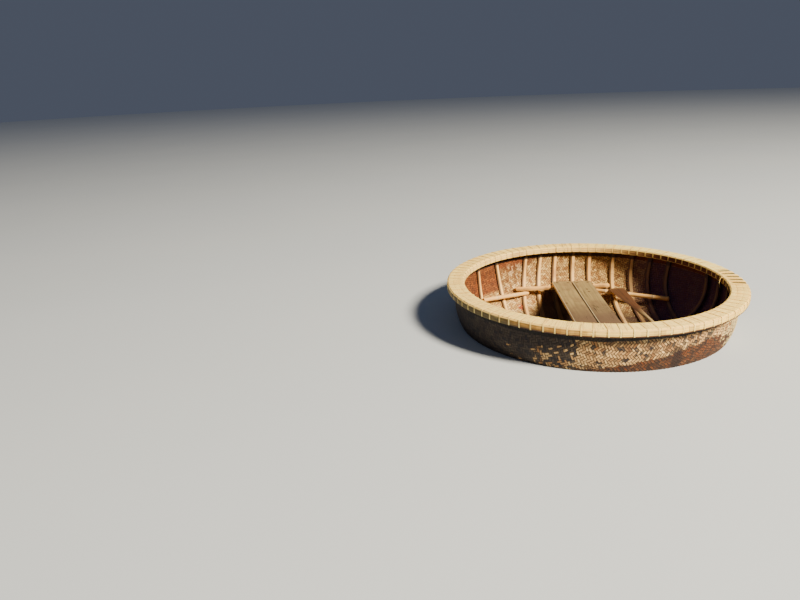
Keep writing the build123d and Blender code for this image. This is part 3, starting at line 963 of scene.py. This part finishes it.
def sawn_board():
    make = Finish("weathered_board")
    along, across, up = make.own("grain")
    wander = make.streaks(along * 1.2, across * 5, 0.0, 1.0, 2.0)
    rings = make.streaks(along * 1.1, across * 70 + wander * 9, up * 30, 1.0, 5.0, 0.65)
    fine = make.streaks(along * 9, across * 420, up * 200)
    stain = make.stain(4.2, 4.0)
    crack = 1 - (make.streaks(along * 1.6, across * 34, 0.0, 1.0, 2.0) - 0.5).size().rise(0.0, 0.012)
    crack = crack * make.streaks(along * 2.2, across * 9, 4.0, 1.0, 2.0).rise(0.5, 0.62)
    knot_place = make.join(along * 2.4, across * 9, 0.0)
    knot_inputs = {"Vector": knot_place, "Scale": 1.0, "Randomness": 1.0}
    knot = 1 - make.node("ShaderNodeTexVoronoi", {"feature": "F1"}, knot_inputs).rise(0.05, 0.11)
    make.colour = make.blend(rings.rise(0.2, 0.8), paint(122, 104, 64), paint(164, 142, 92))
    make.coat(fine - 0.5, 84, 66, 42)
    make.coat(stain.rise(0.44, 0.66) * 0.6, 112, 84, 54)
    make.coat((0.40 - make.y + stain * 0.3).rise(0.15, 0.6) * 0.85, 88, 66, 50)
    make.coat(make.near(nail_spots, 0.013, stain) * 0.9, 40, 24, 16)
    # Painted highlight along one long edge of each board and painted shade along the other.
    make.coat(across.rise(board_width * 0.455, board_width * 0.49) * 0.75, 232, 214, 170)
    make.coat((across * -1).rise(board_width * 0.46, board_width * 0.495) * 0.85, 54, 40, 28)
    make.coat(knot * 0.7, 58, 40, 26)
    make.coat(crack * 0.85, 34, 26, 20)
    return make.finished(0.72 + 0.15 * stain, rings * 0.6 + fine * 0.3 - crack * 0.9 - knot * 0.3, 0.0022)


board_finish = sawn_board()
for number, side_way, node in ((0, -1, "thwart_board_left"), (1, 1, "thwart_board_right")):
    bm = plank(board_length, board_width, board_thick, 0.003, 60, 0.0016, number, 0.002)
    along_y = Matrix.Rotation(math.pi / 2, 4, "Z")
    beside = Matrix.Translation((side_way * board_middle, 0, 0))
    bmesh.ops.transform(bm, matrix=board_place @ beside @ along_y, verts=bm.verts)
    piece(bm, "plank_" + node.split("_")[-1], board_finish, "weathered_board", node)
print("boards", round(board_length, 4), "long")

# %% [markdown]
# The battens under the boards' ends are cream bamboo laths, cut to wedge against the walls.

# %% Battens
for side_way, node in ((1, "thwart_beam_far"), (-1, "thwart_beam_near")):
    low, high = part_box(node)
    bm = plank(high[0] - low[0] - 0.001, high[1] - low[1], high[2] - low[2], 0.005, 30, 0.0012, 5 + side_way)
    middle_y = (high[1] + low[1]) / 2
    grain = grain_of(bm)
    for vert in bm.verts:
        vert[grain] = (vert[grain].x, vert[grain].y * 0.2, 0.05)
    bmesh.ops.translate(bm, vec=(0, middle_y, low[2]), verts=bm.verts)
    piece(bm, "lath_" + node.split("_")[-1], rib_finish, "rib_bamboo", node)

# %% Nails
nail = Finish("rusty_nail")
nail_rust = nail.cloud(nail.place, 160.0)
nail.colour = nail.blend(nail_rust, paint(70, 42, 28), paint(126, 70, 40))
nail_finish = nail.finished(0.7 + 0.2 * nail_rust, nail_rust, 0.0006, Metallic=0.35)
nails = bmesh.new()
for spot in nail_spots:
    head = bmesh.ops.create_cone(
        nails, cap_ends=True, segments=14, radius1=0.0054, radius2=0.0044, depth=0.0030,
        matrix=Matrix.Translation(spot + Vector((0, 0, -0.0002))),
    )["verts"]
    rims = [edge for edge in nails.edges if all(vert in head and vert.co.z > spot.z for vert in edge.verts)]
    bmesh.ops.bevel(nails, geom=rims, offset=0.0008, segments=2, profile=0.5, affect="EDGES", material=-1)
piece(nails, "thwart_nails", nail_finish, "weathered_board")

# %% [markdown]
# ## Ledge poles
# Four lengths of thin bamboo are wedged between ribs below the rim, as ledges to lay things on. A culm is
# spun from its profile: a straight skin, a double ridge at each joint, and a hollow end with a thin wall.
# Its ends are given in degrees round the boat and height, at the side wall and at the boards' batten, and
# its skin lies on the ribs there.

# %% Culm
pole_radius, pole_sides, bore_radius, bore_depth = 0.016, 24, 0.009, 0.055
pole_pitch, joint_steps = 0.190, (
    (-0.05, 0.0), (-0.012, 0.0002), (-0.0065, 0.0018), (-0.0035, 0.0021), (-0.0012, 0.0004),
    (0.0012, 0.0006), (0.003, 0.0016), (0.007, 0.0003), (0.05, 0.0),
)
rib_inset = hull_thickness + rib_thick
pole_places = {"left": ((143, -0.008), (110, -0.050)), "right": ((29, -0.025), (73, -0.050))}


def bilge_point(degrees, height, inset):
    """Point on the bowl's bilge, set into the boat by inset, at so many degrees round it."""
    radius = bilge_r + math.sqrt((bilge_radius - inset) ** 2 - (bilge_z - height) ** 2)
    around = math.radians(degrees)
    return Vector((radius * math.cos(around), radius * math.sin(around), height))


pole_ends = {
    side: [bilge_point(*place, rib_inset + pole_radius) for place in places] for side, places in pole_places.items()
}
print("pole ends", pole_ends)


def culm(length, number):
    """Culm along X with ridged joints and hollow ends."""
    count = int(length / pole_pitch)
    first = (length - (count - 1) * pole_pitch) / 2
    end = [
        (bore_depth, 0), (bore_depth, bore_radius), (0.0006, bore_radius + 0.0004), (0, bore_radius + 0.001),
        (0, pole_radius - 0.0016), (0.0012, pole_radius),
    ]
    joints = [first + joint * pole_pitch for joint in range(count)]
    skin = end + [(joint + step, pole_radius + lift) for joint in joints for step, lift in joint_steps]
    skin += [(length - along, out) for along, out in reversed(end)]
    bm = spun([(along, 0, out) for along, out in skin], (1, 0, 0), pole_sides)
    bmesh.ops.remove_doubles(bm, verts=bm.verts, dist=1e-6)
    keep_grain(bm, number)
    grain = grain_of(bm)
    for vert in bm.verts:
        near = min(abs(vert.co.x - joint) for joint in joints)
        vert[grain] = (vert[grain].x, math.atan2(vert.co.z, vert.co.y) * pole_radius, min(near, 0.05))
        bow = 0.0012 * math.sin(vert.co.x * 9 + number)
        vert.co.y += bow * math.sin(math.pi * vert.co.x / length)
    return bm


def culm_finish():
    make = Finish("ledge_bamboo")
    along, _, joint = make.own("grain")
    fibres, blotch = make.cloud(make.place, 60.0), make.stain(13.0, 4.0)
    own = make.dice((along / 3.7 + 0.1).floor(), 8.0)
    make.colour = make.blend(own * 0.5 + blotch * 0.4, paint(246, 200, 124), paint(208, 150, 84))
    make.coat((fibres - 0.5) * 0.8, 160, 112, 70)
    ring = 1 - joint.rise(0.001, 0.006)
    make.coat(ring * 0.7, 96, 62, 38)
    make.coat((0.03 - joint).rise(0.0, 0.025) * 0.3, 230, 214, 180)
    return make.finished(0.38 + 0.3 * blotch, fibres * 0.4 + ring * 0.4, 0.0008)


pole_finish = culm_finish()
for number, (depth, side) in enumerate((depth, side) for depth in ("far", "near") for side in ("left", "right")):
    start, end = (Vector((x, y if depth == "far" else -y, z)) for x, y, z in pole_ends[side])
    bm = culm((end - start).length, number)
    turn = (end - start).to_track_quat("X", "Z").to_matrix().to_4x4()
    bmesh.ops.transform(bm, matrix=Matrix.Translation(start) @ turn, verts=bm.verts)
    node = f"ledge_pole_{depth}_{side}"
    piece(bm, f"culm_{depth}_{side}", pole_finish, "pole_bamboo", node, sharp_over=50)

# %% [markdown]
# ## Paddle
# The paddle is cut from one plank: a round shaft with a swollen grip, and a long blade that widens to a
# rounded tip. Its spine fades into the blade. Sections are swept along its length, each a little flatter
# and wider than the last. It is stowed across the two right-hand ledge poles: the blade lies on the far one
# and rolls with its slope, the grip lies on the near one, and both ends stop just short of the ribs.

# %% Where the paddle lies
paddle_x, paddle_gap, rest_gap = 0.420, 0.012, 0.0003
shaft_radius, grip_radius, blade_length, blade_half = 0.014, 0.017, 0.700, 0.063
neck_thick, tip_thick = 0.016, 0.009


def paddle_reach(beside):
    """Distance along Y from the middle to a paddle's end that is this much beside it."""
    return math.sqrt(bilge_point(0, ledge.z, rib_inset).x ** 2 - (paddle_x + beside) ** 2) - paddle_gap


wall_end, batten_end = pole_ends["right"]
pole_way = batten_end - wall_end
ledge = wall_end + pole_way * ((paddle_x - wall_end.x) / pole_way.x) + Vector((0, 0, pole_radius + rest_gap))
far_reach, near_reach = paddle_reach(blade_half), paddle_reach(grip_radius)
half_thick = (tip_thick + (neck_thick - tip_thick) * (far_reach - ledge.y) / blade_length) / 2
far_rest = ledge + Vector((0, 0, half_thick + rest_gap))
near_rest = Vector((ledge.x, -ledge.y, ledge.z + grip_radius + rest_gap))
way = (far_rest - near_rest).normalized()
paddle_tip = far_rest + way * ((far_reach - far_rest.y) / way.y)
paddle_butt = paddle_tip - way * ((far_reach + near_reach) / way.y)
paddle_roll = (pole_way.z - pole_way.y * way.z / way.y) / pole_way.x
print("paddle from", paddle_butt, "to", paddle_tip, "rolled", round(paddle_roll, 4))

# %% Paddle shape
butt_round, grip_run, grip_fade, tip_round = 0.010, 0.035, 0.030, 0.028
blade_spine, blade_edge, tip_edge = 0.0052, 0.0035, 0.0028
paddle_length = (paddle_tip - paddle_butt).length
neck = paddle_length - blade_length


def paddle_section(along):
    """Half width, half thickness at the middle and at the edge, at a distance from the butt."""
    if along < neck:
        swell = (grip_radius - shaft_radius) * (1 - min(max((along - grip_run) / grip_fade, 0), 1))
        end = math.sqrt(1 - max(0.0, 1 - along / butt_round) ** 2)
        half = (shaft_radius + swell) * max(end, 0.35)
        return half, half, half * 0.7
    part = (along - neck) / blade_length
    width = shaft_radius + (blade_half - shaft_radius) * part
    left = paddle_length - along
    if left < tip_round:
        width = blade_half - tip_round + math.sqrt(max(tip_round**2 - (tip_round - left) ** 2, 0)) - 0.0005
    spine = shaft_radius + (blade_spine - shaft_radius) * min(part / 0.6, 1)
    return width, spine, blade_edge + (tip_edge - blade_edge) * part


stations = [0.0, 0.002, 0.006, 0.010, 0.035, 0.05, 0.065, 0.2, 0.35, 0.5, 0.62, 0.69, neck]
stations += [neck + blade_length * part for part in (0.05, 0.12, 0.2, 0.3, 0.4, 0.5, 0.6, 0.7, 0.8, 0.88, 0.94)]
stations += [paddle_length - left for left in (tip_round, 0.02, 0.013, 0.007, 0.003, 0.0006)]
rings = []
for along in stations:
    wide, middle, edge = paddle_section(along)
    flat = min(max((along - neck + 0.05) / 0.25, 0), 1)
    rings.append([
        (along, a * wide, b * (middle * (1 - flat) + flat * (edge + (middle - edge) * (1 - abs(a) ** 1.2))))
        for a, b in compass(range(-180, 180, 18))
    ])
bm = bmesh.new()
loft(bm, rings)
keep_grain(bm)
beside = Vector((1, 0, paddle_roll)).normalized()
turn = Matrix((way, beside, way.cross(beside))).transposed().to_4x4()
bmesh.ops.transform(bm, matrix=Matrix.Translation(paddle_butt) @ turn, verts=bm.verts)


# %% Paddle finish
def paddle_wood():
    make = Finish("paddle_wood")
    along, across, up = make.own("grain")
    grain = make.streaks(along * 3, across * 160, up * 160, 1.0, 4.0, 0.6)
    stain, figure = make.stain(9.0, 4.0), grain.rise(0.3, 0.7)
    wet = (along + stain * 0.2).rise(neck + 0.02, neck + 0.3)
    make.colour = make.blend(figure, paint(150, 122, 76), paint(196, 172, 122))
    make.coat(wet, make.blend(figure, paint(52, 32, 20), paint(104, 66, 38)))
    make.coat(stain.rise(0.55, 0.7) * 0.4, 78, 54, 34)
    make.coat((along - paddle_length + 0.03).rise(0.0, 0.03) * 0.5, 160, 128, 84)
    return make.finished(0.42 + 0.3 * stain, grain, 0.0010)


piece(bm, "stowed_paddle", paddle_wood(), "paddle_wood", "paddle", sharp_over=60)

# %% [markdown]
# ## Floor and light
# A boat afloat sits in to its waterline, so the pale floor lies at that height, with a round hole for the
# hull, just small enough for its edge to hide in the wall. A large warm lamp far to the right and about 40
# degrees up gives the sun's slant, and a dim bluish sky fills the shade.

# %% Floor
hole_radius, floor_spread = 0.901, 45
ground = bmesh.new()
inner = bmesh.ops.create_circle(ground, cap_ends=False, radius=hole_radius, segments=180)["verts"]
inner_edges = list({edge for vert in inner for edge in vert.link_edges})
raised = bmesh.ops.extrude_edge_only(ground, edges=inner_edges)["geom"]
outer = [vert for vert in raised if isinstance(vert, bmesh.types.BMVert)]
bmesh.ops.scale(ground, vec=(floor_spread, floor_spread, 1), verts=outer)
bmesh.ops.recalc_face_normals(ground, faces=ground.faces)
floor = shown("floor", frozen(ground, "floor"))
pale = Finish("pale_floor")
pale_cloud = pale.cloud(pale.place, 0.6, 2.0)
pale.colour = pale.blend(pale_cloud, paint(184, 194, 206), paint(190, 199, 210))
floor.data.materials.append(pale.finished(0.85, pale_cloud, 0.001))


# %% Lights
def lamp(name, azimuth, elevation, distance, size, watts, colour):
    """Square soft lamp that looks at the boat."""
    around, up = math.radians(azimuth), math.radians(elevation)
    way = Vector((math.cos(around) * math.cos(up), math.sin(around) * math.cos(up), math.sin(up)))
    data = bpy.data.lights.new(name, "AREA")
    data.size, data.energy, data.color = size, watts, colour
    made = shown(name, data)
    made.location = way * distance
    made.rotation_euler = way.to_track_quat("Z", "Y").to_euler()
    print("lamp", name, [round(v, 2) for v in made.location])


lamp("key", -46, 41, 20.0, 3.6, 14500, (1.0, 0.86, 0.64))
lamp("fill", -150, 50, 8.0, 5.0, 8, (0.86, 0.92, 1.0))
sky = bpy.data.worlds.new("sky")
bpy.context.scene.world = sky
sky.use_nodes = True
sky_light = sky.node_tree.nodes["Background"].inputs
sky_light["Color"].default_value, sky_light["Strength"].default_value = (0.62, 0.72, 1.0, 1.0), 0.12
